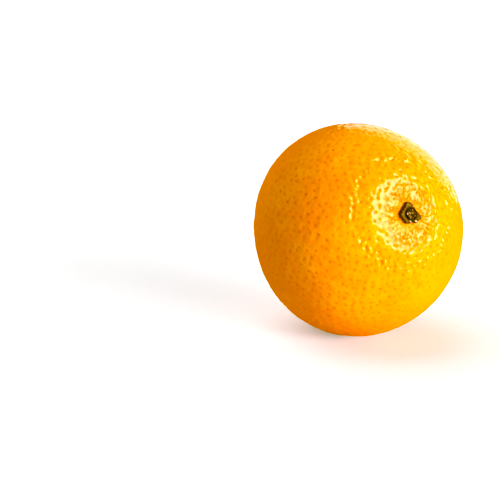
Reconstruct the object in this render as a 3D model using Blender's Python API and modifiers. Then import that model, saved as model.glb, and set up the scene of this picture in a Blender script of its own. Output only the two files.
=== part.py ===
"""A juice orange lying on its side, with the calyx and the stub of stem at its stem end.

Each piece is modelled upright, with the fruit's centre at the origin and the stem up +Z.
One empty then lays the whole orange down, stem end towards -Y, on a small flat spot whose
centre is the world origin.
"""

import math

import bmesh
import bpy
import numpy as np
from mathutils import Vector
from mathutils.kdtree import KDTree

SEED = 7

# The fruit's form: a slightly flattened ball with soft lobes round its waist.
EQUATOR_RADIUS = 0.0370
POLAR_FLATTENING = 0.032
TWO_LOBE = 0.009
TWO_LOBE_AZIMUTH = math.radians(-77)
THREE_LOBE = 0.013
THREE_LOBE_AZIMUTH = math.radians(-3.5)

# The stem end: a flattened shoulder, a pit for the calyx, a low collar and radial folds.
SHOULDER_DROP = 0.0012
SHOULDER_REACH = 0.0095
PIT_DEPTH = 0.0008
PIT_REACH = 0.0045
COLLAR_RISE = 0.00018
COLLAR_AT = 0.0155
COLLAR_WIDTH = 0.0030
FOLD_COUNT = 7
FOLD_SWAY = 1.1
FOLD_HEIGHT = 0.00012
FOLD_AT = 0.0075
FOLD_REACH = 0.0032
FURROW_AZIMUTH = math.radians(92)
FURROW_DEPTH = 0.00028
FURROW_WIDTH = 0.0011
FURROW_AT = 0.0060
FURROW_REACH = 0.0032

# The blossom end: a shallow dimple.
BLOSSOM_DEPTH = 0.0006
BLOSSOM_REACH = 0.0050

# Oil pores: the sphere's own corners and face centres, about 3.3 mm apart.
ICO_LEVELS = 4
PORE_CUTS = 2
PORE_DEPTH = 0.00024
PORE_DEPTH_SPREAD = 0.35
PORE_STRAY = 0.00030
PORES_FROM_STEM = 0.0065
PORE_FADE = 0.0030

# How it lies: turned over from upright, on a flat spot.
LAID_OVER = math.radians(67.5)
REST_RADIUS = 0.0070
REST_MARGIN = 0.0020

# Clear space between neighbouring pieces.
GAP = 0.0003

# The calyx: a disc turned from (radius, height above the peel) points, from the crater's middle
# over the ring and the rim to the underside.
CALYX_SIDES = 60
CRATER_RADIUS = 0.0021
CRATER_FLOOR = GAP + 0.00045
RIM_RADIUS = 0.00275
CALYX_PROFILE = (
    (0.0, CRATER_FLOOR),
    (0.00190, CRATER_FLOOR),
    (CRATER_RADIUS, 0.00130),
    (0.00242, 0.00155),
    (0.00256, 0.00136),
    (RIM_RADIUS, 0.00100),
    (0.00267, GAP),
    (0.00242, GAP),
    (0.00126, GAP),
    (0.0, GAP),
)

# Its five worn sepals: the azimuth and half width of each in degrees, and how far it stands
# out past the rim.
SEPALS = (
    (96, 34, 0.00115),
    (176, 34, 0.00165),
    (234, 26, 0.00135),
    (290, 13, 0.00105),
    (328, 26, 0.00160),
)
SEPAL_LIFT = 0.00018
EDGE_RAGGEDNESS = 0.03

# The stub: a short woody plug with a rough broken top, standing in the crater.
STUB_SIDES = 24
STUB_FOOT = CRATER_FLOOR + GAP
STUB_SHOULDER = STUB_FOOT + 0.00051
STUB_TOP = STUB_FOOT + 0.00085
STUB_ROUGHNESS = 0.00016
STUB_PROFILE = (
    (0.0, STUB_TOP),
    (0.00060, STUB_TOP),
    (0.00120, STUB_TOP),
    (0.00158, STUB_TOP - STUB_ROUGHNESS),
    (0.00172, STUB_SHOULDER),
    (0.00172, STUB_FOOT),
    (0.0, STUB_FOOT),
)

SURFACE_STEPS = 4
SCREW_MERGE = 1e-6

PEEL_COLOUR = (0.93, 0.37, 0.008, 1.0)
CALYX_COLOUR = (0.23, 0.13, 0.03, 1.0)
STUB_COLOUR = (0.11, 0.045, 0.02, 1.0)


def clear_scene():
    for obj in list(bpy.data.objects):
        bpy.data.objects.remove(obj, do_unlink=True)


def new_material(name, colour, roughness):
    material = bpy.data.materials.new(name)
    material.use_nodes = True
    shader = material.node_tree.nodes["Principled BSDF"]
    shader.inputs["Base Color"].default_value = colour
    shader.inputs["Roughness"].default_value = roughness
    shader.inputs["Metallic"].default_value = 0.0
    return material


def bell(distance, reach):
    """1 at distance 0, falling smoothly to almost nothing at twice the reach."""
    return np.exp(-((distance / reach) ** 2))


def smooth_step(value):
    value = np.clip(value, 0.0, 1.0)
    return value * value * (3.0 - 2.0 * value)


def turn_between(azimuth, other):
    """The signed angle from one azimuth to another, within half a turn."""
    return (azimuth - other + math.pi) % (2.0 * math.pi) - math.pi


def unit(points):
    return points / np.linalg.norm(points, axis=1, keepdims=True)


def skin_radius(directions):
    """How far the skin lies from the centre along each unit direction, without the pores."""
    along_stem = np.clip(directions[:, 2], -1.0, 1.0)
    polar = np.arccos(along_stem)
    waist = np.sin(polar)
    azimuth = np.arctan2(directions[:, 1], directions[:, 0])
    from_stem = EQUATOR_RADIUS * polar
    from_blossom = EQUATOR_RADIUS * (math.pi - polar)

    share = 1.0 - POLAR_FLATTENING * along_stem**2
    share += TWO_LOBE * waist**2 * np.cos(2.0 * (azimuth - TWO_LOBE_AZIMUTH))
    share += THREE_LOBE * waist**3 * np.cos(3.0 * (azimuth - THREE_LOBE_AZIMUTH))
    radius = EQUATOR_RADIUS * share

    radius -= SHOULDER_DROP * bell(from_stem, SHOULDER_REACH)
    radius -= PIT_DEPTH * bell(from_stem, PIT_REACH)
    radius += COLLAR_RISE * bell(from_stem - COLLAR_AT, COLLAR_WIDTH)
    folds = np.cos(FOLD_COUNT * azimuth + FOLD_SWAY * np.sin(2.0 * azimuth))
    radius += FOLD_HEIGHT * folds * bell(from_stem - FOLD_AT, FOLD_REACH)
    beside_furrow = from_stem * turn_between(azimuth, FURROW_AZIMUTH)
    furrow = bell(beside_furrow, FURROW_WIDTH) * bell(from_stem - FURROW_AT, FURROW_REACH)
    radius -= FURROW_DEPTH * furrow
    radius -= BLOSSOM_DEPTH * bell(from_blossom, BLOSSOM_REACH)
    return radius


def peel_height(x, y):
    """The skin's height up the stem axis over the points (x, y) near the stem end."""
    height = np.full_like(x, EQUATOR_RADIUS)
    for _ in range(SURFACE_STEPS):
        directions = unit(np.stack([x, y, height], axis=1))
        height = skin_radius(directions) * directions[:, 2]
    return height


def mesh_points(mesh):
    points = np.empty(len(mesh.vertices) * 3)
    mesh.vertices.foreach_get("co", points)
    return points.reshape(-1, 3)


def set_mesh_points(mesh, points):
    mesh.vertices.foreach_set("co", points.ravel())
    mesh.update()


def down_when_laid():
    """Straight down in the upright fruit's own axes, once it is laid over."""
    return np.array([0.0, -math.sin(LAID_OVER), -math.cos(LAID_OVER)])


def press_pores(points, sites, random):
    """The ball's points with each pore pressed in, fading out at the stem and where it rests."""
    tree = KDTree(len(points))
    for index, point in enumerate(points):
        tree.insert(point, index)
    tree.balance()
    pores = np.array([tree.find(site)[1] for site in sites])

    directions = unit(points)
    directions = unit(directions * EQUATOR_RADIUS + random.uniform(-PORE_STRAY, PORE_STRAY, points.shape))
    depth = np.zeros(len(points))
    depth[pores] = PORE_DEPTH * (1.0 + random.uniform(-PORE_DEPTH_SPREAD, PORE_DEPTH_SPREAD, len(pores)))
    from_stem = EQUATOR_RADIUS * np.arccos(np.clip(directions[:, 2], -1.0, 1.0))
    depth *= smooth_step((from_stem - PORES_FROM_STEM) / PORE_FADE)
    from_rest = EQUATOR_RADIUS * np.arccos(np.clip(directions @ down_when_laid(), -1.0, 1.0))
    depth *= smooth_step((from_rest - REST_RADIUS - REST_MARGIN) / PORE_FADE)
    return directions * (skin_radius(directions) - depth)[:, None]


def flatten_where_it_rests(points):
    """Sets back what lies below the resting plane, and gives that plane's height and centre."""
    down = down_when_laid()
    reach = points @ down
    spot_depth = EQUATOR_RADIUS - math.sqrt(EQUATOR_RADIUS**2 - REST_RADIUS**2)
    plane = reach.max() - spot_depth
    past = reach > plane
    points[past] -= np.outer(reach[past] - plane, down)
    return plane, points[past].mean(axis=0)


def build_fruit(collection, pose, random):
    bpy.ops.mesh.primitive_ico_sphere_add(subdivisions=ICO_LEVELS, radius=EQUATOR_RADIUS)
    fruit = bpy.context.object
    fruit.name = fruit.data.name = "fruit"
    shape = bmesh.new()
    shape.from_mesh(fruit.data)
    sites = [vert.co.copy() for vert in shape.verts]
    sites += [face.calc_center_median() for face in shape.faces]
    bmesh.ops.subdivide_edges(shape, edges=shape.edges[:], cuts=PORE_CUTS, use_grid_fill=True)
    shape.to_mesh(fruit.data)
    shape.free()

    points = press_pores(mesh_points(fruit.data), sites, random)
    plane, spot = flatten_where_it_rests(points)
    set_mesh_points(fruit.data, points)
    fruit.data.shade_smooth()
    adopt(fruit, collection, pose, new_material("orange_peel", PEEL_COLOUR, 0.38))
    return plane, spot


def turned(name, profile, sides):
    """A mesh turned round +Z from (radius, height) points that run from the top's centre outwards."""
    mesh = bpy.data.meshes.new(name + "_profile")
    corners = [(radius, 0.0, height) for radius, height in profile]
    mesh.from_pydata(corners, [(i, i + 1) for i in range(len(corners) - 1)], [])
    guide = bpy.data.objects.new(name + "_profile", mesh)
    bpy.context.scene.collection.objects.link(guide)
    screw = guide.modifiers.new("Turn", "SCREW")
    screw.axis = "Z"
    screw.steps = screw.render_steps = sides
    screw.use_merge_vertices = True
    screw.merge_threshold = SCREW_MERGE
    graph = bpy.context.evaluated_depsgraph_get()
    finished = bpy.data.meshes.new_from_object(guide.evaluated_get(graph))
    finished.name = name
    bpy.data.objects.remove(guide)
    return bpy.data.objects.new(name, finished)


def sepal_reach(azimuth):
    """The calyx's outer radius at each azimuth, and how near that is to a sepal's middle, 0 to 1."""
    reach = np.full_like(azimuth, RIM_RADIUS)
    nearness = np.zeros_like(azimuth)
    for middle, half_width, length in SEPALS:
        share = bell(turn_between(azimuth, math.radians(middle)), math.radians(half_width))
        reach += length * share
        nearness = np.maximum(nearness, share)
    return reach, nearness


def build_calyx(collection, pose, random):
    calyx = turned("calyx", CALYX_PROFILE, CALYX_SIDES)
    points = mesh_points(calyx.data)
    radius = np.hypot(points[:, 0], points[:, 1])
    azimuth = np.arctan2(points[:, 1], points[:, 0])
    reach, nearness = sepal_reach(azimuth)
    side = np.round((azimuth + math.pi) / (2.0 * math.pi) * CALYX_SIDES).astype(int) % CALYX_SIDES
    reach *= 1.0 + random.uniform(-EDGE_RAGGEDNESS, EDGE_RAGGEDNESS, CALYX_SIDES)[side]
    outwards = smooth_step((radius - CRATER_RADIUS) / (RIM_RADIUS - CRATER_RADIUS))
    stretch = 1.0 + (reach / RIM_RADIUS - 1.0) * outwards
    points[:, :2] *= stretch[:, None]
    points[:, 2] += SEPAL_LIFT * nearness * outwards
    points[:, 2] += peel_height(points[:, 0], points[:, 1])
    set_mesh_points(calyx.data, points)
    calyx.data.shade_smooth()
    adopt(calyx, collection, pose, new_material("calyx_brown", CALYX_COLOUR, 0.75))


def build_stem_stub(collection, pose, random):
    stub = turned("stem_stub", STUB_PROFILE, STUB_SIDES)
    points = mesh_points(stub.data)
    on_top = points[:, 2] > STUB_SHOULDER + STUB_ROUGHNESS / 2.0
    points[on_top, 2] += random.uniform(-STUB_ROUGHNESS, STUB_ROUGHNESS, on_top.sum())
    points[:, 2] += peel_height(points[:, 0], points[:, 1])
    set_mesh_points(stub.data, points)
    stub.data.shade_smooth()
    adopt(stub, collection, pose, new_material("broken_wood", STUB_COLOUR, 0.9))


def adopt(obj, collection, pose, material):
    """Gives a piece its material, its collection and its place under the pose."""
    obj.data.materials.clear()
    obj.data.materials.append(material)
    for other in list(obj.users_collection):
        other.objects.unlink(obj)
    collection.objects.link(obj)
    obj.parent = pose


def main():
    clear_scene()
    random = np.random.default_rng(SEED)
    collection = bpy.data.collections.new("juice_orange")
    bpy.context.scene.collection.children.link(collection)
    pose = bpy.data.objects.new("lying_pose", None)
    collection.objects.link(pose)

    plane, spot = build_fruit(collection, pose, random)
    build_calyx(collection, pose, random)
    build_stem_stub(collection, pose, random)

    pose.rotation_euler = (LAID_OVER, 0.0, 0.0)
    laid_spot = pose.rotation_euler.to_matrix() @ Vector(spot)
    pose.location = (-laid_spot.x, -laid_spot.y, plane)
    bpy.context.view_layer.update()


main()
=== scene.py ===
"""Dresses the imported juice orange: its dimpled peel, its dry calyx and the broken stub of its stem.

Laid out as an add-on. Each operator makes one piece, upright and centred on the fruit, and then
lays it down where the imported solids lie.
"""

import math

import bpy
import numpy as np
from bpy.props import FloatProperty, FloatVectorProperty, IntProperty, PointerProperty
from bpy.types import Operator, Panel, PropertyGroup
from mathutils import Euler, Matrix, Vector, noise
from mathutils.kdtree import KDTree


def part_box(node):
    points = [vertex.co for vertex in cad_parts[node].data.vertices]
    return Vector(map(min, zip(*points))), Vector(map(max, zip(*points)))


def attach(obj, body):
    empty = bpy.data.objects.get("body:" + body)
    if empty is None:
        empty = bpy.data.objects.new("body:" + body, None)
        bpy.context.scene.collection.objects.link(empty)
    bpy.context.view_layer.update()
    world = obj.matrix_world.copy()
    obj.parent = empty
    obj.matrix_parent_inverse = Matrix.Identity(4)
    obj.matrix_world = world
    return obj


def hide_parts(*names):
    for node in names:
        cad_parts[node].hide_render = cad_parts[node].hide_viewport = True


bl_info = {
    "name": "Juice Orange Maker",
    "version": (1, 0, 0),
    "blender": (4, 5, 0),
    "location": "3D View > Sidebar > Orange",
    "description": "Grows a juice orange with its calyx and stem stub, and lights it",
    "category": "Add Mesh",
}

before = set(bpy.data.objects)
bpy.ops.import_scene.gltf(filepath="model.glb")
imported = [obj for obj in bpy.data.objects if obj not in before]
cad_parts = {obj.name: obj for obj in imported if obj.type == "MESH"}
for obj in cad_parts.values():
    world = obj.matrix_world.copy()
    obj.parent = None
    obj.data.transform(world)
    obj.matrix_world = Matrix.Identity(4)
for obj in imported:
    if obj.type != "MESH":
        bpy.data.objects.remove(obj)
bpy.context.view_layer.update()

GOLDEN_TURN = math.pi * (3.0 - math.sqrt(5.0))

# How the fruit lies: turned over from upright, on a flat spot.
LAID_OVER = math.radians(67.5)
REST_RADIUS = 0.0070

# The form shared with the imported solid, as shares of the radius and lengths in metres.
TWO_LOBE_AZIMUTH = math.radians(-77)
THREE_LOBE_AZIMUTH = math.radians(-3.5)
SHOULDER_REACH = 0.0095
PIT_REACH = 0.0045
COLLAR_AT = 0.0155
COLLAR_WIDTH = 0.0030
FOLD_COUNT = 7
FOLD_SWAY = 1.1
FOLD_AT = 0.0075
FOLD_REACH = 0.0032
FURROW_AZIMUTH = math.radians(92)
FURROW_WIDTH = 0.0011
FURROW_AT = 0.0060
FURROW_REACH = 0.0032
BLOSSOM_REACH = 0.0050

# The ball that the peel is shaped from.
BALL_LEVELS = 6
BALL_CUTS = 2
FINE_REACH = 0.0092
OUTLINE_SAMPLES = 20000

# Between the calyx and the peel, and the stub and the calyx.
GAP = 0.0003

# How many rounds settle a height on the curved skin.
HEIGHT_ROUNDS = 4

# How finely the calyx and the stub are rounded off.
ROUNDING_LEVELS = 2


class OrangeForm(PropertyGroup):
    """The fruit's sizes"""

    equator_radius: FloatProperty(
        name="Equator radius",
        description="Radius of the fruit round its waist",
        default=0.0370,
        unit="LENGTH",
        precision=4,
    )
    polar_flattening: FloatProperty(
        name="Polar flattening",
        description="How much shorter the fruit is along its stem axis",
        default=0.032,
        subtype="FACTOR",
        precision=3,
    )
    two_lobe: FloatProperty(
        name="Oval waist",
        description="How far the waist is drawn out into an oval, as a share of the radius",
        default=0.009,
        subtype="FACTOR",
        precision=3,
    )
    three_lobe: FloatProperty(
        name="Three-lobed waist",
        description="How far the waist swells in three soft lobes, as a share of the radius",
        default=0.013,
        subtype="FACTOR",
        precision=3,
    )
    shoulder_drop: FloatProperty(
        name="Shoulder drop",
        description="How far the stem end is flattened",
        default=0.0012,
        unit="LENGTH",
        precision=5,
    )
    pit_depth: FloatProperty(
        name="Calyx pit depth",
        description="Depth of the pit that the calyx sits in",
        default=0.0008,
        unit="LENGTH",
        precision=5,
    )
    collar_rise: FloatProperty(
        name="Collar rise",
        description="Height of the low swelling round the stem end",
        default=0.00018,
        unit="LENGTH",
        precision=5,
    )
    fold_height: FloatProperty(
        name="Fold height",
        description="Height of the radial folds round the calyx",
        default=0.00012,
        unit="LENGTH",
        precision=5,
    )
    furrow_depth: FloatProperty(
        name="Furrow depth",
        description="Depth of the one deeper furrow that runs out from the calyx",
        default=0.00028,
        unit="LENGTH",
        precision=5,
    )
    blossom_depth: FloatProperty(
        name="Blossom dimple depth",
        description="Depth of the dimple opposite the stem",
        default=0.0006,
        unit="LENGTH",
        precision=5,
    )
    pore_count: IntProperty(
        name="Large pores",
        description="How many large oil pores cover the peel",
        default=2100,
        min=100,
    )
    pore_depth: FloatProperty(
        name="Pore depth",
        description="Mean depth of a large oil pore",
        default=0.00022,
        unit="LENGTH",
        precision=5,
    )
    seed: IntProperty(
        name="Seed",
        description="Seed of every random draw",
        default=11,
    )


class OrangeColours(PropertyGroup):
    """The colours of the peel, the calyx and the stub"""

    # Also painted over the peel as shade where it is seen at a slant.
    deep: FloatVectorProperty(
        name="Deep orange",
        description="The peel's deeper patches",
        subtype="COLOR",
        size=4,
        default=(0.92, 0.235, 0.0015, 1.0),
    )
    golden: FloatVectorProperty(
        name="Golden orange",
        description="The peel's lighter patches",
        subtype="COLOR",
        size=4,
        default=(0.97, 0.32, 0.002, 1.0),
    )
    # Partly the peel's own yellower colour, partly painted light on the lit stem end.
    shoulder: FloatVectorProperty(
        name="Yellow shoulder",
        description="The peel round the stem end, which ripens last",
        subtype="COLOR",
        size=4,
        default=(0.98, 0.345, 0.002, 1.0),
    )
    # Partly the pore's own deeper colour, partly painted shade in its pit; also used as painted shade in
    # the cracks round the stem.
    pore: FloatVectorProperty(
        name="Pore",
        description="The floor of an oil pore",
        subtype="COLOR",
        size=4,
        default=(0.66, 0.085, 0.0008, 1.0),
    )
    # Painted shade in the pit round the calyx and along its furrow.
    calyx_shade: FloatVectorProperty(
        name="Round the calyx",
        description="The deeper orange hard against the calyx",
        subtype="COLOR",
        size=4,
        default=(0.90, 0.20, 0.0006, 1.0),
    )
    calyx: FloatVectorProperty(
        name="Dry calyx",
        description="The calyx's olive tan ring",
        subtype="COLOR",
        size=4,
        default=(0.19, 0.071, 0.004, 1.0),
    )
    # Darker along the calyx's edge and on the walls of its crater.
    edge: FloatVectorProperty(
        name="Dead edge",
        description="The calyx's dark edge and the walls of its crater",
        subtype="COLOR",
        size=4,
        default=(0.022, 0.004, 0.0015, 1.0),
    )
    stub: FloatVectorProperty(
        name="Broken stem",
        description="The dark wood of the broken stub",
        subtype="COLOR",
        size=4,
        default=(0.055, 0.011, 0.003, 1.0),
    )
    bark: FloatVectorProperty(
        name="Stem bark",
        description="The red-brown lumps of the broken stub",
        subtype="COLOR",
        size=4,
        default=(0.13, 0.036, 0.016, 1.0),
    )
    # Also the pale flecks on the stub, partly pith and partly painted highlight on its lumps.
    pith: FloatVectorProperty(
        name="Pale pith",
        description="The pale flecks in the broken stub",
        subtype="COLOR",
        size=4,
        default=(0.50, 0.29, 0.19, 1.0),
    )


class OrangeStudio(PropertyGroup):
    """The camera and the lights"""

    azimuth: FloatProperty(
        name="Camera azimuth",
        description="Where the camera stands round the fruit, from straight in front",
        default=math.radians(-33),
        subtype="ANGLE",
    )
    elevation: FloatProperty(
        name="Camera elevation",
        description="How far the camera stands above the level of the fruit",
        default=math.radians(16),
        subtype="ANGLE",
    )
    distance: FloatProperty(
        name="Camera distance",
        description="From the camera to the fruit's centre",
        default=0.75,
        unit="LENGTH",
    )
    key_strength: FloatProperty(
        name="Key light",
        description="Strength of the soft key light that shades the peel",
        default=3.3,
        min=0.0,
    )
    sheen_strength: FloatProperty(
        name="Sheen",
        description="Strength of the light that only the wax shows, mostly round the stem end",
        default=7.7,
        min=0.0,
    )
    wide_strength: FloatProperty(
        name="Wide light",
        description="Strength of the wider light beside the key",
        default=5.3,
        min=0.0,
    )
    back_strength: FloatProperty(
        name="Back light",
        description="Strength of the broad light behind the fruit",
        default=2.3,
        min=0.0,
    )
    fill_strength: FloatProperty(
        name="Fill light",
        description="Strength of the white room round the fruit",
        default=0.03,
        min=0.0,
    )
    backdrop_strength: FloatProperty(
        name="Backdrop light",
        description="Strength of the light that only the wax shows, along the right edge",
        default=2.7,
        min=0.0,
    )
    top_strength: FloatProperty(
        name="Top light",
        description="How much brighter the room is above and behind the fruit",
        default=0.32,
        min=0.0,
    )
    floor_glow: FloatProperty(
        name="Floor glow",
        description="How much the white floor is lifted in the picture, which keeps its shadows pale",
        default=0.28,
        min=0.0,
    )


# Helpers for the form


def bell(distance, reach):
    """1 at distance 0, falling smoothly to almost nothing at twice the reach."""
    return np.exp(-((distance / reach) ** 2))


def smooth_step(value):
    value = np.clip(value, 0.0, 1.0)
    return value * value * (3.0 - 2.0 * value)


def turn_between(azimuth, other):
    """The signed angle from one azimuth to another, within half a turn."""
    return (azimuth - other + math.pi) % (2.0 * math.pi) - math.pi


def unit(points):
    return points / np.linalg.norm(points, axis=1, keepdims=True)


def azimuth_of(points):
    return np.arctan2(points[:, 1], points[:, 0])


def round_the_stem(azimuth):
    """Points on a circle of radius 1 round the stem axis, one at each azimuth."""
    return np.column_stack([np.cos(azimuth), np.sin(azimuth), np.zeros_like(azimuth)])


def along_skin(radius, cosine):
    """How far along the skin something lies, from the cosine of the angle to it."""
    return radius * np.arccos(np.clip(cosine, -1.0, 1.0))


def roughened(points, size, height):
    """A soft random number at each point, within the height either way."""
    return height * np.array([noise.noise(Vector(p) / size) for p in points])


def skin_radius(form, directions):
    """How far the skin lies from the fruit's centre along each unit direction, without its pores."""
    along_stem = np.clip(directions[:, 2], -1.0, 1.0)
    polar = np.arccos(along_stem)
    waist = np.sin(polar)
    azimuth = azimuth_of(directions)
    from_stem = form.equator_radius * polar
    from_blossom = form.equator_radius * (math.pi - polar)

    share = 1.0 - form.polar_flattening * along_stem**2
    share += form.two_lobe * waist**2 * np.cos(2.0 * (azimuth - TWO_LOBE_AZIMUTH))
    share += form.three_lobe * waist**3 * np.cos(3.0 * (azimuth - THREE_LOBE_AZIMUTH))
    radius = form.equator_radius * share

    radius -= form.shoulder_drop * bell(from_stem, SHOULDER_REACH)
    radius -= form.pit_depth * bell(from_stem, PIT_REACH)
    radius += form.collar_rise * bell(from_stem - COLLAR_AT, COLLAR_WIDTH)
    folds = np.cos(FOLD_COUNT * azimuth + FOLD_SWAY * np.sin(2.0 * azimuth))
    radius += form.fold_height * folds * bell(from_stem - FOLD_AT, FOLD_REACH)
    beside_furrow = from_stem * turn_between(azimuth, FURROW_AZIMUTH)
    furrow = bell(beside_furrow, FURROW_WIDTH) * bell(from_stem - FURROW_AT, FURROW_REACH)
    radius -= form.furrow_depth * furrow
    radius -= form.blossom_depth * bell(from_blossom, BLOSSOM_REACH)
    return radius


def peel_height(form, x, y):
    """The skin's height up the stem axis over the points (x, y) near the stem end."""
    height = np.full_like(x, form.equator_radius)
    for _ in range(HEIGHT_ROUNDS):
        directions = unit(np.stack([x, y, height], axis=1))
        height = skin_radius(form, directions) * directions[:, 2]
    return height


def spread_directions(count):
    """Unit directions spread evenly over the ball, along a spiral from pole to pole."""
    step = np.arange(count) + 0.5
    height = 1.0 - 2.0 * step / count
    waist = np.sqrt(1.0 - height**2)
    turn = GOLDEN_TURN * step
    return np.stack([waist * np.cos(turn), waist * np.sin(turn), height], axis=1)


def down_when_laid():
    """Straight down in the upright fruit's own axes, once it is laid over."""
    return np.array([0.0, -math.sin(LAID_OVER), -math.cos(LAID_OVER)])


def flatten_where_it_rests(form, points):
    """Sets back what lies below the resting plane."""
    down = down_when_laid()
    reach = points @ down
    spot_depth = form.equator_radius - math.sqrt(form.equator_radius**2 - REST_RADIUS**2)
    past = np.clip(reach - (reach.max() - spot_depth), 0.0, None)
    points -= np.outer(past, down)


def lying_place(form):
    """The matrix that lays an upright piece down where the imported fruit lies."""
    directions = spread_directions(OUTLINE_SAMPLES)
    points = directions * skin_radius(form, directions)[:, None]
    flatten_where_it_rests(form, points)
    turn = Euler((LAID_OVER, 0.0, 0.0)).to_matrix()
    laid = points @ np.array(turn).T
    low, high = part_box("fruit")
    middle = (laid.min(axis=0) + laid.max(axis=0)) / 2.0
    centre = Vector((
        (low.x + high.x) / 2.0 - middle[0],
        (low.y + high.y) / 2.0 - middle[1],
        low.z - laid[:, 2].min(),
    ))
    return Matrix.Translation(centre) @ turn.to_4x4()


# Helpers for modelling


def mesh_points(mesh):
    points = np.empty(len(mesh.vertices) * 3)
    mesh.vertices.foreach_get("co", points)
    return points.reshape(-1, 3)


def set_mesh_points(mesh, points):
    mesh.vertices.foreach_set("co", points.ravel())
    mesh.update()


def store(mesh, name, values):
    """Keeps one number at each vertex under a name, for the material to read."""
    attribute = mesh.attributes.new(name, "FLOAT", "POINT")
    attribute.data.foreach_set("value", np.asarray(values, dtype=np.float32))


def edit(piece):
    bpy.context.view_layer.objects.active = piece
    bpy.ops.object.mode_set(mode="EDIT")


def leave_edit():
    bpy.ops.object.mode_set(mode="OBJECT")


def turned_by_hand(name, profile, sides):
    """A round piece extruded ring by ring through (radius, height) points, closed at both ends."""
    first_radius, first_height = profile[0]
    bpy.ops.object.select_all(action="DESELECT")
    bpy.ops.mesh.primitive_circle_add(
        vertices=sides, radius=first_radius, fill_type="NGON", location=(0.0, 0.0, first_height)
    )
    piece = bpy.context.object
    piece.name = piece.data.name = name
    bpy.ops.object.transform_apply(location=True)
    edit(piece)
    bpy.ops.mesh.select_mode(type="FACE")
    bpy.ops.mesh.select_all(action="SELECT")
    bpy.ops.mesh.poke()
    bpy.ops.mesh.select_mode(type="EDGE")
    bpy.ops.mesh.region_to_loop()
    last_radius, last_height = first_radius, first_height
    for radius, height in profile[1:]:
        bpy.ops.mesh.extrude_region_move()
        scale = radius / last_radius
        bpy.ops.transform.resize(value=(scale, scale, 1.0), center_override=(0.0, 0.0, last_height))
        bpy.ops.transform.translate(value=(0.0, 0.0, height - last_height))
        last_radius, last_height = radius, height
    bpy.ops.mesh.edge_face_add()
    bpy.ops.mesh.select_mode(type="FACE")
    bpy.ops.mesh.poke()
    bpy.ops.mesh.select_all(action="SELECT")
    bpy.ops.mesh.normals_make_consistent(inside=False)
    leave_edit()
    return piece


def rounded(piece):
    smooth = piece.modifiers.new("Round", "SUBSURF")
    smooth.levels = smooth.render_levels = ROUNDING_LEVELS
    bpy.context.view_layer.objects.active = piece
    bpy.ops.object.modifier_apply(modifier=smooth.name)


def finish_piece(piece, place, node, material):
    """Shades a piece, lays it down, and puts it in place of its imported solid."""
    piece.data.materials.clear()
    piece.data.materials.append(material)
    bpy.ops.object.select_all(action="DESELECT")
    piece.select_set(True)
    bpy.context.view_layer.objects.active = piece
    bpy.ops.object.shade_smooth()
    piece.matrix_world = place
    bpy.ops.object.transform_apply(location=True, rotation=True, scale=True)
    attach(piece, "root")
    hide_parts(node)


# Helpers for materials


class Shading:
    """One material or node group, with short ways to add and join its nodes."""

    def __init__(self, tree):
        self.tree = tree

    def add(self, kind, **settings):
        node = self.tree.nodes.new(kind)
        for name, value in settings.items():
            setattr(node, name, value)
        return node

    def feed(self, socket, value):
        if isinstance(value, bpy.types.NodeSocket):
            self.tree.links.new(value, socket)
        else:
            socket.default_value = value

    def math(self, operation, first, second=0.0):
        node = self.add("ShaderNodeMath", operation=operation)
        self.feed(node.inputs[0], first)
        self.feed(node.inputs[1], second)
        return node.outputs[0]

    def less(self, mask, share):
        """1 where the mask is 0, and smaller by the share where it is 1."""
        return self.math("SUBTRACT", 1.0, self.math("MULTIPLY", mask, share))

    def mix(self, share, first, second, kind="RGBA"):
        node = self.add("ShaderNodeMix", data_type=kind)
        self.feed(node.inputs["Factor"], share)
        self.feed(node.inputs["A"], first)
        self.feed(node.inputs["B"], second)
        return node.outputs["Result"]

    def between(self, value, low, high, start=0.0, end=1.0):
        """start where the value is low and end where it is high, with a soft change between."""
        node = self.add("ShaderNodeMapRange", interpolation_type="SMOOTHSTEP")
        labels = ("Value", "From Min", "From Max", "To Min", "To Max")
        for label, number in zip(labels, (value, low, high, start, end)):
            self.feed(node.inputs[label], number)
        return node.outputs["Result"]

    def noise(self, vector, scale, detail=2.0):
        node = self.add("ShaderNodeTexNoise")
        self.feed(node.inputs["Vector"], vector)
        self.feed(node.inputs["Scale"], scale)
        self.feed(node.inputs["Detail"], detail)
        return node.outputs["Fac"]

    def to_cell_edge(self, vector, scale):
        """How far each point is from the nearest edge in a field of cells."""
        node = self.add("ShaderNodeTexVoronoi", feature="DISTANCE_TO_EDGE")
        self.feed(node.inputs["Vector"], vector)
        self.feed(node.inputs["Scale"], scale)
        return node.outputs["Distance"]

    def attribute(self, name):
        return self.add("ShaderNodeAttribute", attribute_name=name).outputs["Fac"]

    def upright(self, place):
        """Object coordinates turned back to the upright fruit, with the stem up +Z."""
        coordinates = self.add("ShaderNodeTexCoord")
        mapping = self.add("ShaderNodeMapping", vector_type="TEXTURE")
        self.feed(mapping.inputs["Vector"], coordinates.outputs["Object"])
        self.feed(mapping.inputs["Location"], place.to_translation())
        self.feed(mapping.inputs["Rotation"], (LAID_OVER, 0.0, 0.0))
        return mapping.outputs["Vector"]

    def group(self, tree, **values):
        node = self.add("ShaderNodeGroup", node_tree=tree)
        for name, value in values.items():
            self.feed(node.inputs[name.replace("_", " ").capitalize()], value)
        return node.outputs[0]


def new_group(name, inputs, output):
    """An empty node group, with its inputs as sockets ready to read and the node that ends it."""
    tree = bpy.data.node_groups.new(name, "ShaderNodeTree")
    for label, kind, default in inputs:
        socket = tree.interface.new_socket(label, in_out="INPUT", socket_type=kind)
        if default is not None:
            socket.default_value = default
    tree.interface.new_socket(output[0], in_out="OUTPUT", socket_type=output[1])
    shading = Shading(tree)
    start = shading.add("NodeGroupInput")
    end = shading.add("NodeGroupOutput")
    return shading, start.outputs, end.inputs[0]


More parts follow.
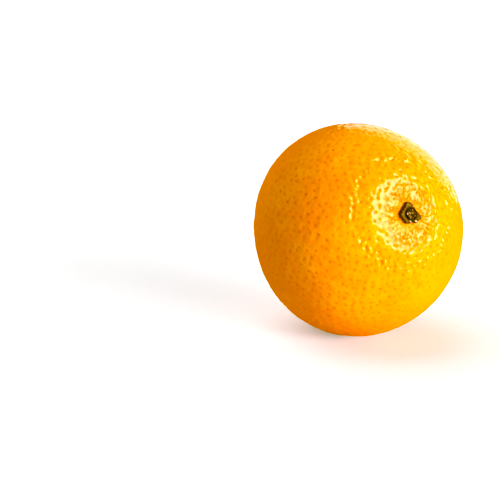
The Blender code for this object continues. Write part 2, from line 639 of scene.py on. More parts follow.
# How much finer each group's fine noise is than its broad pattern, and where its masks begin and end.
MOTTLE_FINENESS = 6.0
MOTTLE_EDGES = (0.36, 0.64)
PEBBLE_FINENESS = 1.7
PEBBLE_EDGES = (0.0, 0.22)

# The cracks: their width, how they wander, and the patches where they are closed.
CRACK_EDGES = (0.05, 0.17)
CRACK_WANDER = 0.6
CRACK_WANDER_SCALE = 500.0
CLOSED_SCALE = 420.0
CLOSED_EDGES = (0.44, 0.56)
CRACKS_FADE_FROM = 0.5


def mottle_group():
    """Soft patches of two sizes, as a mask."""
    if "Mottle" in bpy.data.node_groups:
        return bpy.data.node_groups["Mottle"]
    shading, given, result = new_group(
        "Mottle",
        [
            ("Vector", "NodeSocketVector", None),
            ("Scale", "NodeSocketFloat", 60.0),
            ("Fine share", "NodeSocketFloat", 0.3),
        ],
        ("Mask", "NodeSocketFloat"),
    )
    broad = shading.noise(given["Vector"], given["Scale"])
    finer = shading.math("MULTIPLY", given["Scale"], MOTTLE_FINENESS)
    fine = shading.noise(given["Vector"], finer, detail=3.0)
    patches = shading.mix(given["Fine share"], broad, fine, kind="FLOAT")
    shading.feed(result, shading.between(patches, *MOTTLE_EDGES))
    return shading.tree


def pebble_group():
    """Fine pebbled relief, as a height."""
    if "Pebble" in bpy.data.node_groups:
        return bpy.data.node_groups["Pebble"]
    shading, given, result = new_group(
        "Pebble",
        [
            ("Vector", "NodeSocketVector", None),
            ("Scale", "NodeSocketFloat", 900.0),
            ("Cell share", "NodeSocketFloat", 0.5),
        ],
        ("Height", "NodeSocketFloat"),
    )
    to_edge = shading.to_cell_edge(given["Vector"], given["Scale"])
    cells = shading.between(to_edge, *PEBBLE_EDGES)
    finer = shading.math("MULTIPLY", given["Scale"], PEBBLE_FINENESS)
    rough = shading.noise(given["Vector"], finer, detail=3.0)
    shading.feed(result, shading.mix(given["Cell share"], rough, cells, kind="FLOAT"))
    return shading.tree


def crack_group():
    """Narrow cracks between flat islands, drawn out along the lines from the stem, as a mask."""
    if "Stem cracks" in bpy.data.node_groups:
        return bpy.data.node_groups["Stem cracks"]
    shading, given, result = new_group(
        "Stem cracks",
        [
            ("Vector", "NodeSocketVector", None),
            ("Round", "NodeSocketFloat", 6.0),
            ("Outwards", "NodeSocketFloat", 600.0),
            ("Reach", "NodeSocketFloat", 0.015),
        ],
        ("Mask", "NodeSocketFloat"),
    )
    split = shading.add("ShaderNodeSeparateXYZ")
    shading.feed(split.inputs[0], given["Vector"])
    across, along, up = split.outputs
    turn = shading.math("ARCTAN2", along, across)
    squares = [shading.math("POWER", side, 2.0) for side in (across, along)]
    out = shading.math("SQRT", shading.math("ADD", *squares))

    wander = shading.noise(given["Vector"], CRACK_WANDER_SCALE, detail=1.0)
    wander = shading.math("MULTIPLY", wander, CRACK_WANDER)
    ring = shading.add("ShaderNodeCombineXYZ")
    for socket, operation in zip(ring.inputs, ("COSINE", "SINE")):
        place = shading.math("MULTIPLY", shading.math(operation, turn), given["Round"])
        shading.feed(socket, shading.math("ADD", place, wander))
    shading.feed(ring.inputs[2], shading.math("MULTIPLY", out, given["Outwards"]))

    island = shading.between(shading.to_cell_edge(ring.outputs[0], 1.0), *CRACK_EDGES)
    patches = shading.noise(given["Vector"], CLOSED_SCALE, detail=1.0)
    closed = shading.between(patches, *CLOSED_EDGES, 1.0, 0.0)
    island = shading.math("MAXIMUM", island, closed)
    fade_from = shading.math("MULTIPLY", given["Reach"], CRACKS_FADE_FROM)
    far = shading.between(out, fade_from, given["Reach"])
    underside = shading.math("LESS_THAN", up, 0.0)
    far = shading.math("MAXIMUM", underside, far)
    shading.feed(result, shading.math("MULTIPLY", shading.less(island, 1.0), shading.less(far, 1.0)))
    return shading.tree


def new_material(name, finish):
    """A material with its shader's plain numbers set, and the nodes still to add."""
    material = bpy.data.materials.new(name)
    material.use_nodes = True
    shader = material.node_tree.nodes["Principled BSDF"]
    for label, number in finish.items():
        shader.inputs[label].default_value = number
    return material, Shading(material.node_tree), shader


def add_relief(shading, shader, height, distance):
    bump = shading.add("ShaderNodeBump")
    bump.inputs["Distance"].default_value = distance
    shading.feed(bump.inputs["Height"], height)
    shading.feed(shader.inputs["Normal"], bump.outputs["Normal"])


PEEL_FINISH = {
    "Roughness": 0.6,
    "Specular IOR Level": 0.0,
    "Coat IOR": 1.46,
    "Coat Roughness": 0.12,
    "Subsurface Weight": 0.12,
    "Subsurface Radius": (1.0, 0.35, 0.08),
    "Subsurface Scale": 0.0016,
}
PEEL_RELIEF = 0.00006
CRACK_DEPTH = 0.5

# Between these slants of the view, from 0 facing it to 1 along it, the peel is painted a deeper orange
# as shade and its wax weakens.
SLANTS = (0.30, 0.60)
WAX_FACING = 0.85
WAX_SLANTING = 0.25

# How strongly each mark tints the peel, and how much of the wax it takes away.
PORE_TINT = 0.85
CALYX_SHADE_TINT = 0.7
CRACK_PAINTED_SHADE = 0.6
SLANT_PAINTED_SHADE = 0.6
PORE_DULLS = 0.8
HALO_DULLS = 0.85
CRACK_DULLS = 0.95


def peel_material(colours, place):
    material, shading, shader = new_material("orange_peel", PEEL_FINISH)
    vector = shading.upright(place)
    slant = shading.add("ShaderNodeLayerWeight").outputs["Facing"]
    pore = shading.attribute("pore")
    calyx_shade = shading.attribute("stem_halo")
    crack = shading.group(crack_group(), vector=vector, round=5.0, outwards=520.0, reach=0.0150)

    patches = shading.group(mottle_group(), vector=vector, scale=45.0, fine_share=0.4)
    colour = shading.mix(patches, tuple(colours.deep), tuple(colours.golden))
    # The shoulder is partly painted light on the lit stem end.
    colour = shading.mix(shading.attribute("shoulder"), colour, tuple(colours.shoulder))
    for mask, share, tint in (
        # The pore dots are partly their own colour and partly painted shade.
        (pore, PORE_TINT, colours.pore),
        # Painted shade round the calyx and in its furrow.
        (calyx_shade, CALYX_SHADE_TINT, colours.calyx_shade),
        # Painted shade in the grooves of the cracks.
        (crack, CRACK_PAINTED_SHADE, colours.pore),
        # Painted shade towards the fruit's edge.
        (shading.between(slant, *SLANTS), SLANT_PAINTED_SHADE, colours.deep),
    ):
        colour = shading.mix(shading.math("MULTIPLY", mask, share), colour, tuple(tint))
    shading.feed(shader.inputs["Base Color"], colour)

    wax = shading.between(slant, *SLANTS, WAX_FACING, WAX_SLANTING)
    for mask, loss in ((calyx_shade, HALO_DULLS), (pore, PORE_DULLS), (crack, CRACK_DULLS)):
        wax = shading.math("MULTIPLY", wax, shading.less(mask, loss))
    shading.feed(shader.inputs["Coat Weight"], wax)

    grain = shading.group(pebble_group(), vector=vector, scale=620.0, cell_share=0.3)
    height = shading.math("SUBTRACT", grain, shading.math("MULTIPLY", crack, CRACK_DEPTH))
    add_relief(shading, shader, height, PEEL_RELIEF)
    return material


CALYX_FINISH = {"Roughness": 0.7, "Specular IOR Level": 0.35}
CALYX_RELIEF = 0.00004
CALYX_DARK_SHARE = 0.8
TEAR_EDGES = (0.35, 0.6)


def calyx_material(colours, place):
    material, shading, shader = new_material("dry_calyx", CALYX_FINISH)
    vector = shading.upright(place)
    patches = shading.group(mottle_group(), vector=vector, scale=1000.0, fine_share=0.5)
    dark = shading.mix(CALYX_DARK_SHARE, tuple(colours.calyx), tuple(colours.edge))
    colour = shading.mix(patches, tuple(colours.calyx), dark)
    colour = shading.mix(shading.attribute("dead_edge"), colour, tuple(colours.edge))
    torn = shading.between(shading.attribute("torn"), *TEAR_EDGES)
    colour = shading.mix(torn, colour, tuple(colours.pith))
    shading.feed(shader.inputs["Base Color"], colour)
    grain = shading.group(pebble_group(), vector=vector, scale=4200.0, cell_share=0.3)
    add_relief(shading, shader, grain, CALYX_RELIEF)
    return material


STUB_FINISH = {"Roughness": 0.8, "Specular IOR Level": 0.3}
STUB_RELIEF = 0.00006
BARK_SCALE = 850.0
BARK_EDGES = (0.50, 0.58)
BARK_SHARE = 0.8
PITH_SCALE = 1200.0
PITH_EDGES = (0.60, 0.66)
PITH_SHARE = 0.6
FLECK_AND_GLINT_EDGES = (0.30, 0.55)


def stub_material(colours, place):
    material, shading, shader = new_material("broken_stem", STUB_FINISH)
    vector = shading.upright(place)
    patches = shading.group(mottle_group(), vector=vector, scale=900.0, fine_share=0.35)
    colour = shading.mix(patches, tuple(colours.stub), tuple(colours.edge))
    bark = shading.between(shading.noise(vector, BARK_SCALE, detail=1.0), *BARK_EDGES)
    colour = shading.mix(shading.math("MULTIPLY", bark, BARK_SHARE), colour, tuple(colours.bark))
    pith = shading.between(shading.noise(vector, PITH_SCALE, detail=1.0), *PITH_EDGES)
    # Partly pith and partly painted highlight on the stub's lumps.
    fleck = shading.between(shading.attribute("fleck"), *FLECK_AND_GLINT_EDGES)
    pale = shading.math("MAXIMUM", shading.math("MULTIPLY", pith, PITH_SHARE), fleck)
    colour = shading.mix(pale, colour, tuple(colours.pith))
    shading.feed(shader.inputs["Base Color"], colour)
    grain = shading.group(pebble_group(), vector=vector, scale=5200.0, cell_share=0.4)
    add_relief(shading, shader, grain, STUB_RELIEF)
    return material


# The peel

# The round pores: how they stray from even places, how wide they are, and the dark dot in each floor,
# partly its own colour and partly painted shade.
PORE_STRAY = 0.000425
PORE_DEPTH_SPREAD = 0.35
PORE_REACH = (0.00036, 0.00056)
SMALL_PORES_PER_LARGE = 2
SMALL_PORE_REACH = (0.00030, 0.00042)
SMALL_PORE_SHARE = 0.35
PORE_DOT_REACH = 0.00044
PORE_CUT_OFF = 2.2

# The long pores that point at the calyx.
RADIAL_PORES = 250
RADIAL_PORE_SPAN = (0.0042, 0.0115)
RADIAL_PORE_LENGTH = (0.00045, 0.00080)
RADIAL_PORE_WIDTH = (0.00024, 0.00034)
RADIAL_PORE_SHARES = (0.475, 0.95)
RADIAL_PORE_STRAY = 0.1
RADIAL_DOT_SHARE = 0.9

# How far from the calyx, and from the flat spot, the pores and the waves begin.
PORES_FROM_CALYX = 0.0041
PORES_FULL_OVER = 0.0050
CLEAR_OVER = 0.0012
REST_MARGIN = 0.0015
WAVES_FROM = 0.0070
WAVES_FULL_OVER = 0.0050

# The soft waves, each as (size, height), and the streaks that take their place round the calyx.
WAVES = ((0.0013, 0.000080), (0.0022, 0.000130), (0.0065, 0.000110))
STREAKS_ROUND = 6.5
STREAK_LENGTH = 0.0024
STREAK_HEIGHT = 0.00012

# The low ring round the stem end: where it lies and how it rises and falls. Its breaks, whose share of
# the height is kept within limits, and its lumps are given as (size, height).
RIDGE_AT = 0.0190
RIDGE_SHIFT = 0.0021
RIDGE_TOWARDS = math.radians(140)
RIDGE_STEP = 0.0018
RIDGE_FALL = 0.0050
RIDGE_HEIGHT = 0.00026
RIDGE_MEAN_SHARE = 0.75
RIDGE_BREAKS = (1.0 / 9.0, 1.3)
RIDGE_SHARES = (0.15, 1.3)
RIDGE_LUMPS = (0.0013, 0.00066)

# The yellower shoulder, partly its own colour and partly painted light: how far it reaches in full,
# where it ends, and its strength.
SHOULDER_YELLOW_AND_LIGHT = (0.0090, 0.0270)
SHOULDER_YELLOW_AND_LIGHT_SHARE = 0.2

# The painted shade in a streaky ring hard against the calyx, its streaks as (size, height), and its part
# of the furrow.
HALO_REACH = 0.0020
HALO_STREAKS = (0.2, 1.3)
HALO_NEAR = 0.0095
HALO_FURROW_WIDTH = 0.6 * FURROW_WIDTH
HALO_FURROW_REACH = 1.2 * FURROW_REACH

# A swelling lower than this share of its height is left out.
FAINT = 0.01


def dense_ball(form):
    """An icosphere with even triangles all over and finer ones round the stem end."""
    bpy.ops.object.select_all(action="DESELECT")
    bpy.ops.mesh.primitive_ico_sphere_add(subdivisions=BALL_LEVELS, radius=form.equator_radius)
    ball = bpy.context.object
    ball.name = ball.data.name = "peel"
    edit(ball)
    bpy.ops.mesh.select_mode(type="FACE")
    bpy.ops.mesh.select_all(action="SELECT")
    bpy.ops.mesh.subdivide(number_cuts=BALL_CUTS)
    bpy.ops.mesh.select_all(action="DESELECT")
    leave_edit()
    centres = np.empty(len(ball.data.polygons) * 3)
    ball.data.polygons.foreach_get("center", centres)
    centres = unit(centres.reshape(-1, 3))
    near_stem = along_skin(form.equator_radius, centres[:, 2]) < FINE_REACH
    ball.data.polygons.foreach_set("select", near_stem)
    edit(ball)
    bpy.ops.mesh.subdivide(number_cuts=1)
    leave_edit()
    return ball


def scattered_pores(form, count, reaches, depth, random):
    """Round pores spread evenly and then strayed, as rows of direction, length, width and depth."""
    directions = spread_directions(count) * form.equator_radius
    directions = unit(directions + random.normal(0.0, PORE_STRAY, directions.shape))
    reach = random.uniform(*reaches, count)
    depths = depth * random.uniform(1.0 - PORE_DEPTH_SPREAD, 1.0 + PORE_DEPTH_SPREAD, count)
    return np.column_stack([directions, reach, reach, depths])


def radial_pores(form, random):
    """Long pores that point at the calyx, closer together than the rest."""
    count = RADIAL_PORES
    near, far = RADIAL_PORE_SPAN
    polar = np.sqrt(random.uniform(near**2, far**2, count)) / form.equator_radius
    stray = random.uniform(-RADIAL_PORE_STRAY, RADIAL_PORE_STRAY, count)
    azimuth = GOLDEN_TURN * np.arange(count) + stray
    waist = np.sin(polar)
    directions = np.column_stack([waist * np.cos(azimuth), waist * np.sin(azimuth), np.cos(polar)])
    length = random.uniform(*RADIAL_PORE_LENGTH, count)
    width = random.uniform(*RADIAL_PORE_WIDTH, count)
    depths = form.pore_depth * random.uniform(*RADIAL_PORE_SHARES, count)
    return np.column_stack([directions, length, width, depths])


def press_pores(form, directions, tree, pores):
    """How deep each point is pressed in by the pores round it, and how near it is to one's floor."""
    radius = form.equator_radius
    depth = np.zeros(len(directions))
    dot = np.zeros(len(directions))
    for *wanted, length, width, deepest in pores:
        centre = directions[tree.find(wanted)[1]]
        found = tree.find_range(centre, PORE_CUT_OFF * max(length, width) / radius)
        near = np.fromiter((item[1] for item in found), dtype=int, count=len(found))
        # The way along the skin that leads from the stem, and the way across it.
        outward = np.array([centre[0] * centre[2], centre[1] * centre[2], centre[2] ** 2 - 1.0])
        outward /= max(np.linalg.norm(outward), 1e-9)
        sideways = np.cross(centre, outward)
        offset = (directions[near] - centre) * radius
        along, across = offset @ outward, offset @ sideways
        dip = deepest * bell(along, length) * bell(across, width)
        depth[near] = np.maximum(depth[near], dip)
        floor = bell(along, PORE_DOT_REACH * length / width) * bell(across, PORE_DOT_REACH)
        dot[near] = np.maximum(dot[near], floor * deepest / form.pore_depth)
    return depth, dot


def radial_streaks(directions, from_stem):
    """Soft swellings drawn out along the lines that run from the calyx."""
    near = from_stem < WAVES_FROM + WAVES_FULL_OVER
    places = round_the_stem(azimuth_of(directions[near])) * STREAKS_ROUND
    places[:, 2] = from_stem[near] / STREAK_LENGTH
    height = np.zeros(len(directions))
    height[near] = roughened(places, 1.0, STREAK_HEIGHT)
    return height


def shoulder_ridge(directions, radius, from_stem):
    """A low, uneven step that rings the stem end, steep on its inner side and fading outwards."""
    azimuth = azimuth_of(directions)
    past = from_stem - RIDGE_AT - RIDGE_SHIFT * np.cos(azimuth - RIDGE_TOWARDS)
    height = smooth_step(past / RIDGE_STEP) * bell(np.clip(past - RIDGE_STEP, 0.0, None), RIDGE_FALL)
    risen = height > FAINT
    share = RIDGE_MEAN_SHARE + roughened(round_the_stem(azimuth[risen]), *RIDGE_BREAKS)
    height[risen] *= np.clip(share, *RIDGE_SHARES)
    band = bell(past - RIDGE_STEP / 2.0, RIDGE_STEP)
    banded = band > FAINT
    lumps = np.zeros(len(directions))
    lumps[banded] = roughened(directions[banded] * radius, *RIDGE_LUMPS)
    return RIDGE_HEIGHT * height + lumps * band


def stem_halo(directions, from_stem):
    """A streaky ring of painted shade hard against the calyx, with the furrow running out of it, 0 to 1.
    """
    azimuth = azimuth_of(directions)
    near = from_stem < HALO_NEAR
    streak = np.zeros(len(directions))
    streak[near] = roughened(round_the_stem(azimuth[near]), *HALO_STREAKS)
    past_calyx = np.clip(from_stem - sepal_reach(azimuth)[0], 0.0, None)
    ring = bell(past_calyx, HALO_REACH * (1.0 + streak))
    beside_furrow = from_stem * turn_between(azimuth, FURROW_AZIMUTH)
    furrow = bell(beside_furrow, HALO_FURROW_WIDTH) * bell(from_stem - FURROW_AT, HALO_FURROW_REACH)
    return np.maximum(ring, furrow)


class JUICE_ORANGE_OT_grow_peel(Operator):
    """Grow the dimpled peel round the whole fruit"""

    bl_idname = "juice_orange.grow_peel"
    bl_label = "Grow the Peel"

    def execute(self, context):
        form = context.scene.orange_form
        random = np.random.default_rng(form.seed)
        peel = dense_ball(form)
        directions = unit(mesh_points(peel.data))
        tree = KDTree(len(directions))
        for index, direction in enumerate(directions):
            tree.insert(direction, index)
        tree.balance()
        radius = form.equator_radius
        from_stem = along_skin(radius, directions[:, 2])
        from_rest = along_skin(radius, directions @ down_when_laid())

        large = scattered_pores(form, form.pore_count, PORE_REACH, form.pore_depth, random)
        small_count = form.pore_count * SMALL_PORES_PER_LARGE
        small_depth = form.pore_depth * SMALL_PORE_SHARE
        small = scattered_pores(form, small_count, SMALL_PORE_REACH, small_depth, random)
        large_depth, large_dot = press_pores(form, directions, tree, large)
        small_depth, small_dot = press_pores(form, directions, tree, small)
        radial_depth, radial_dot = press_pores(form, directions, tree, radial_pores(form, random))
        off_calyx = smooth_step((from_stem - PORES_FROM_CALYX) / PORES_FULL_OVER)
        clear = smooth_step((from_stem - PORES_FROM_CALYX) / CLEAR_OVER)
        clear *= smooth_step((from_rest - REST_RADIUS) / REST_MARGIN)
        depth = np.maximum((large_depth + small_depth) * off_calyx, radial_depth) * clear
        dot = np.maximum(large_dot, small_dot) * off_calyx
        dot = np.maximum(dot, radial_dot * RADIAL_DOT_SHARE) * clear

        reach = skin_radius(form, directions) - depth
        off_stem = smooth_step((from_stem - WAVES_FROM) / WAVES_FULL_OVER)
        for wave in WAVES:
            reach += roughened(directions * radius, *wave) * off_stem * clear
        reach += radial_streaks(directions, from_stem) * (1.0 - off_stem) * clear
        reach += shoulder_ridge(directions, radius, from_stem) * clear
        points = directions * reach[:, None]
        flatten_where_it_rests(form, points)
        set_mesh_points(peel.data, points)
        store(peel.data, "pore", np.clip(dot, 0.0, 1.0))
        store(peel.data, "stem_halo", stem_halo(directions, from_stem))
        full_to, none_from = SHOULDER_YELLOW_AND_LIGHT
        shoulder = 1.0 - smooth_step((from_stem - full_to) / (none_from - full_to))
        store(peel.data, "shoulder", shoulder * SHOULDER_YELLOW_AND_LIGHT_SHARE)

        place = lying_place(form)
        material = peel_material(context.scene.orange_colours, place)
        finish_piece(peel, place, "fruit", material)
        return {"FINISHED"}


# The calyx

CALYX_SIDES = 90
CRATER_RADIUS = 0.0022
DARK_EDGE_WIDTH = 0.00048
CRATER_FLOOR = GAP + 0.00045
RIM_RADIUS = 0.00275
CALYX_PROFILE = (
    (0.00126, GAP),
    (0.00242, GAP),
    (0.00267, GAP),
    (RIM_RADIUS, 0.00080),
    (RIM_RADIUS, 0.00100),
    (0.00265, 0.00125),
    (0.00250, 0.00140),
    (0.00235, 0.00138),
    (CRATER_RADIUS, 0.00115),
    (0.00208, 0.00085),
    (0.00190, CRATER_FLOOR),
    (0.00100, CRATER_FLOOR),
)
# Each sepal's azimuth and half its width, in degrees, and how far it stands out past the rim.
SEPALS = (
    (94, 32, 0.00175),
    (176, 34, 0.00165),
    (232, 26, 0.00105),
    (292, 13, 0.00080),
    (333, 25, 0.00160),
)
SEPAL_LIFT = 0.00018

# Lumps as (size, height): lengths on the top, and shares of the radius round the edge.
CALYX_LUMPS = (0.0006, 0.00014)
EDGE_LUMPS = (0.16, 0.06)
EDGE_MEAN = 0.97

# The dark edge: the lumps of its inner side, and over what widths it and the crater's dark fade.
DARK_EDGE_LUMPS = (0.12, 0.00035)
DARK_EDGE_FADE = 0.00018
CRATER_FADE = 0.00025

# Torn pale places on the calyx: azimuth in degrees, distance from the stem axis, reach.
PALE_TEARS = ((251, 0.00250, 0.00042), (297, 0.00300, 0.00046), (262, 0.00285, 0.00026))


def spots(points, places):
    """How near each point is to the middle of a spot, 0 to 1."""
    share = np.zeros(len(points))
    for azimuth, out, reach in places:
        angle = math.radians(azimuth)
        away = np.hypot(points[:, 0] - out * math.cos(angle), points[:, 1] - out * math.sin(angle))
        share = np.maximum(share, bell(away, reach))
    return share


def sepal_reach(azimuth):
    """The calyx's outer radius at each azimuth, and how near that is to a sepal's middle, 0 to 1."""
    reach = np.full_like(azimuth, RIM_RADIUS)
    nearness = np.zeros_like(azimuth)
    for middle, half_width, length in SEPALS:
        share = bell(turn_between(azimuth, math.radians(middle)), math.radians(half_width))
        reach += length * share
        nearness = np.maximum(nearness, share)
    return reach, nearness


class JUICE_ORANGE_OT_grow_calyx(Operator):
    """Grow the dry calyx with its worn sepals and its crater"""

    bl_idname = "juice_orange.grow_calyx"
    bl_label = "Grow the Calyx"

    def execute(self, context):
        form = context.scene.orange_form
        calyx = turned_by_hand("dry_calyx", CALYX_PROFILE, CALYX_SIDES)
        rounded(calyx)
        points = mesh_points(calyx.data)
        radius = np.hypot(points[:, 0], points[:, 1])
        azimuth = azimuth_of(points)
        reach, nearness = sepal_reach(azimuth)
        round_edge = round_the_stem(azimuth)
        reach *= EDGE_MEAN + roughened(round_edge, *EDGE_LUMPS)
        outwards = smooth_step((radius - CRATER_RADIUS) / (RIM_RADIUS - CRATER_RADIUS))
        points[:, :2] *= (1.0 + (reach / RIM_RADIUS - 1.0) * outwards)[:, None]
        on_top = smooth_step((points[:, 2] - GAP * 2.0) / GAP)
        points[:, 2] += SEPAL_LIFT * nearness * outwards
        points[:, 2] += roughened(points, *CALYX_LUMPS) * on_top
        points[:, 2] += peel_height(form, points[:, 0], points[:, 1])
        set_mesh_points(calyx.data, points)
        crater = 1.0 - smooth_step((radius - CRATER_RADIUS) / CRATER_FADE)
        from_edge = reach - radius * (1.0 + (reach / RIM_RADIUS - 1.0) * outwards)
        ragged = roughened(round_edge, *DARK_EDGE_LUMPS)
        rim = 1.0 - smooth_step((from_edge + ragged - DARK_EDGE_WIDTH) / DARK_EDGE_FADE)
        store(calyx.data, "dead_edge", np.maximum(crater, rim))
        store(calyx.data, "torn", spots(points, PALE_TEARS))

        place = lying_place(form)
        material = calyx_material(context.scene.orange_colours, place)
        finish_piece(calyx, place, "calyx", material)
        return {"FINISHED"}


# The stub of the stem

STUB_SIDES = 48
STUB_FOOT = CRATER_FLOOR + GAP
STUB_TOP = STUB_FOOT + 0.00085
STUB_PROFILE = (
    (0.00100, STUB_FOOT),
    (0.00160, STUB_FOOT),
    (0.00176, STUB_FOOT + 0.00010),
    (0.00178, STUB_FOOT + 0.00045),
    (0.00172, STUB_TOP - 0.00020),
    (0.00156, STUB_TOP - 0.00005),
    (0.00125, STUB_TOP),
    (0.00080, STUB_TOP),
    (0.00040, STUB_TOP),
)

# The broken top: where it begins above the foot, and its lumps and splinters as (size, height).
BREAK_FROM = 0.0003
BREAK_OVER = 0.0003
BREAK_LUMPS = ((0.0006, 0.00045), (0.00025, 0.00018))

# Pale flecks on the stub, partly pith and partly painted highlight on its lumps: azimuth in degrees,
# distance from the stem axis, reach.
STUB_FLECKS_AND_GLINTS = (
    (171, 0.00142, 0.00034),
    (140, 0.00090, 0.00022),
    (215, 0.00105, 0.00020),
    (20, 0.00060, 0.00020),
)


class JUICE_ORANGE_OT_break_stem(Operator):
    """Break the stem off short, with a rough dark top in the calyx's crater"""

    bl_idname = "juice_orange.break_stem"
    bl_label = "Break the Stem"

    def execute(self, context):
        form = context.scene.orange_form
        stub = turned_by_hand("broken_stem", STUB_PROFILE, STUB_SIDES)
        rounded(stub)
        points = mesh_points(stub.data)
        on_top = smooth_step((points[:, 2] - STUB_FOOT - BREAK_FROM) / BREAK_OVER)
        for lumps in BREAK_LUMPS:
            points[:, 2] += roughened(points, *lumps) * on_top
        points[:, 2] += peel_height(form, points[:, 0], points[:, 1])
        set_mesh_points(stub.data, points)
        store(stub.data, "fleck", spots(points, STUB_FLECKS_AND_GLINTS))

        place = lying_place(form)
        material = stub_material(context.scene.orange_colours, place)
        finish_piece(stub, place, "stem_stub", material)
        return {"FINISHED"}


# The studio

IMAGE_PIXELS = 500
SENSOR_MM = 36.0
PIXELS_PER_METRE = 2853.0
FRUIT_IN_PHOTO = (357.3, 228.0)
FLOOR_REACH = 4.0
FLOOR_FINISH = {
    "Roughness": 0.9,
    "Specular IOR Level": 0.0,
    "Emission Color": (1.0, 1.0, 1.0, 1.0),
}
FLOOR_GREYS = ((0.79, 0.79, 0.79, 1.0), (0.81, 0.81, 0.81, 1.0))
FIBRE_SCALE = 900.0
FIBRE_EDGES = (0.3, 0.7)

# Each light's azimuth, elevation and width, in degrees, and whether it shows in the gloss alone.
LIGHTS = {
    "key": (34.6, 9, 19, False),
    "sheen": (27, 26, 51, True),
    "backdrop": (128, 14, 45, True),
    "wide": (12, 7, 36, False),
    "back": (-165, 52, 80, False),
}

# The brighter part of the room: where its middle is, and the cosines over which it rises.
TOP_AZIMUTH = math.radians(175)
TOP_ELEVATION = math.radians(60)
TOP_SPAN = (0.45, 0.95)

# Where the blue of the picture is drawn down between black and white, as (given, shown).
BLUE_CURVE = ((0.08, 0.006), (0.18, 0.055), (0.28, 0.16), (0.42, 0.36), (0.60, 0.58), (0.80, 0.795))


def direction_from(azimuth, elevation):
    """The way to something at this azimuth from straight in front, and this elevation."""
    level = math.cos(elevation)
    return Vector((math.sin(azimuth) * level, -math.cos(azimuth) * level, math.sin(elevation)))


def facing(direction):
    """The turn that points a camera's or light's -Z back along this direction."""
    return direction.to_track_quat("Z", "Y").to_euler()


def floor_material(glow):
    material, shading, shader = new_material("white_card", FLOOR_FINISH)
    seen = shading.add("ShaderNodeLightPath").outputs["Is Camera Ray"]
    shading.feed(shader.inputs["Emission Strength"], shading.between(seen, 0.0, 1.0, 0.0, glow))
    coordinates = shading.add("ShaderNodeTexCoord")
    fibres = shading.noise(coordinates.outputs["Object"], FIBRE_SCALE)
    white = shading.mix(shading.between(fibres, *FIBRE_EDGES), *FLOOR_GREYS)
    shading.feed(shader.inputs["Base Color"], white)
    return material


def soft_light(name, strength, azimuth, elevation, width, only_gloss):
    """A far, round soft box, its angles in degrees, that lights either the gloss or the colours."""
    way = direction_from(math.radians(azimuth), math.radians(elevation))
    bpy.ops.object.light_add(type="SUN", rotation=facing(way))
    light = bpy.context.object
    light.name = light.data.name = f"{name}_light"
    light.data.energy = strength
    light.data.angle = math.radians(width)
    light.visible_glossy = only_gloss
    light.visible_diffuse = not only_gloss


def white_room(studio):
    """A plain white surround: pure white to the camera, and as a light dim but for its upper part."""
    world = bpy.data.worlds.new("white_room")
    bpy.context.scene.world = world
    world.use_nodes = True
    shading = Shading(world.node_tree)
    background = world.node_tree.nodes["Background"]
    background.inputs["Color"].default_value = (1.0, 1.0, 1.0, 1.0)
    way = shading.add("ShaderNodeTexCoord").outputs["Generated"]
    towards = shading.add("ShaderNodeVectorMath", operation="DOT_PRODUCT")
    shading.feed(towards.inputs[0], way)
    shading.feed(towards.inputs[1], direction_from(TOP_AZIMUTH, TOP_ELEVATION))
    brighter = shading.between(towards.outputs["Value"], *TOP_SPAN, 0.0, studio.top_strength)
    light = shading.math("ADD", brighter, studio.fill_strength)
    seen = shading.add("ShaderNodeLightPath").outputs["Is Camera Ray"]
    shading.feed(background.inputs["Strength"], shading.between(seen, 0.0, 1.0, light, 1.0))


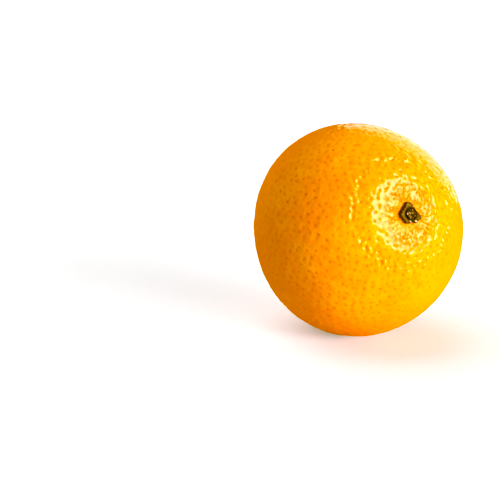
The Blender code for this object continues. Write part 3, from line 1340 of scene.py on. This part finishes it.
class JUICE_ORANGE_OT_light_studio(Operator):
    """Set the pale floor, the soft light and the camera at the photograph's angle"""

    bl_idname = "juice_orange.light_studio"
    bl_label = "Light the Studio"

    def execute(self, context):
        scene = context.scene
        studio = scene.orange_studio
        centre = lying_place(scene.orange_form).to_translation()

        bpy.ops.object.select_all(action="DESELECT")
        bpy.ops.mesh.primitive_plane_add(size=FLOOR_REACH, location=(0.0, 0.0, 0.0))
        floor = context.object
        floor.name = floor.data.name = "studio_floor"
        floor.data.materials.append(floor_material(studio.floor_glow))
        floor.visible_glossy = False

        white_room(studio)
        for name, setting in LIGHTS.items():
            soft_light(name, getattr(studio, f"{name}_strength"), *setting)

        back = direction_from(studio.azimuth, studio.elevation)
        turn = facing(back).to_matrix()
        aside = (IMAGE_PIXELS / 2.0 - FRUIT_IN_PHOTO[0]) / PIXELS_PER_METRE
        above = (FRUIT_IN_PHOTO[1] - IMAGE_PIXELS / 2.0) / PIXELS_PER_METRE
        aim = centre + turn @ Vector((aside, above, 0.0))
        stand = centre + back * studio.distance
        bpy.ops.object.camera_add(location=stand, rotation=facing(stand - aim))
        camera = context.object
        camera.name = camera.data.name = "photo_camera"
        camera.data.sensor_width = SENSOR_MM
        camera.data.lens = PIXELS_PER_METRE * studio.distance * SENSOR_MM / IMAGE_PIXELS
        scene.camera = camera

        view = scene.view_settings
        view.view_transform = "Standard"
        view.use_curve_mapping = True
        blue = view.curve_mapping.curves[2]
        for place in BLUE_CURVE:
            blue.points.new(*place)
        view.curve_mapping.update()
        return {"FINISHED"}


class JUICE_ORANGE_PT_maker(Panel):
    """The orange's sizes, colours and studio, and the steps that make it"""

    bl_label = "Juice Orange"
    bl_space_type = "VIEW_3D"
    bl_region_type = "UI"
    bl_category = "Orange"

    def draw(self, context):
        layout = self.layout
        for group_name, kind in GROUPS.items():
            box = layout.box()
            for name in kind.__annotations__:
                box.prop(getattr(context.scene, group_name), name)
        for operator in OPERATORS:
            layout.operator(operator.bl_idname)


GROUPS = {"orange_form": OrangeForm, "orange_colours": OrangeColours, "orange_studio": OrangeStudio}
OPERATORS = (
    JUICE_ORANGE_OT_grow_peel,
    JUICE_ORANGE_OT_grow_calyx,
    JUICE_ORANGE_OT_break_stem,
    JUICE_ORANGE_OT_light_studio,
)


def register():
    for cls in (*GROUPS.values(), *OPERATORS, JUICE_ORANGE_PT_maker):
        bpy.utils.register_class(cls)
    for name, group in GROUPS.items():
        setattr(bpy.types.Scene, name, PointerProperty(type=group))


def unregister():
    for name in GROUPS:
        delattr(bpy.types.Scene, name)
    for cls in (JUICE_ORANGE_PT_maker, *reversed(OPERATORS), *GROUPS.values()):
        bpy.utils.unregister_class(cls)


def main():
    register()
    bpy.ops.juice_orange.grow_peel()
    bpy.ops.juice_orange.grow_calyx()
    bpy.ops.juice_orange.break_stem()
    bpy.ops.juice_orange.light_studio()


if __name__ == "__main__":
    main()
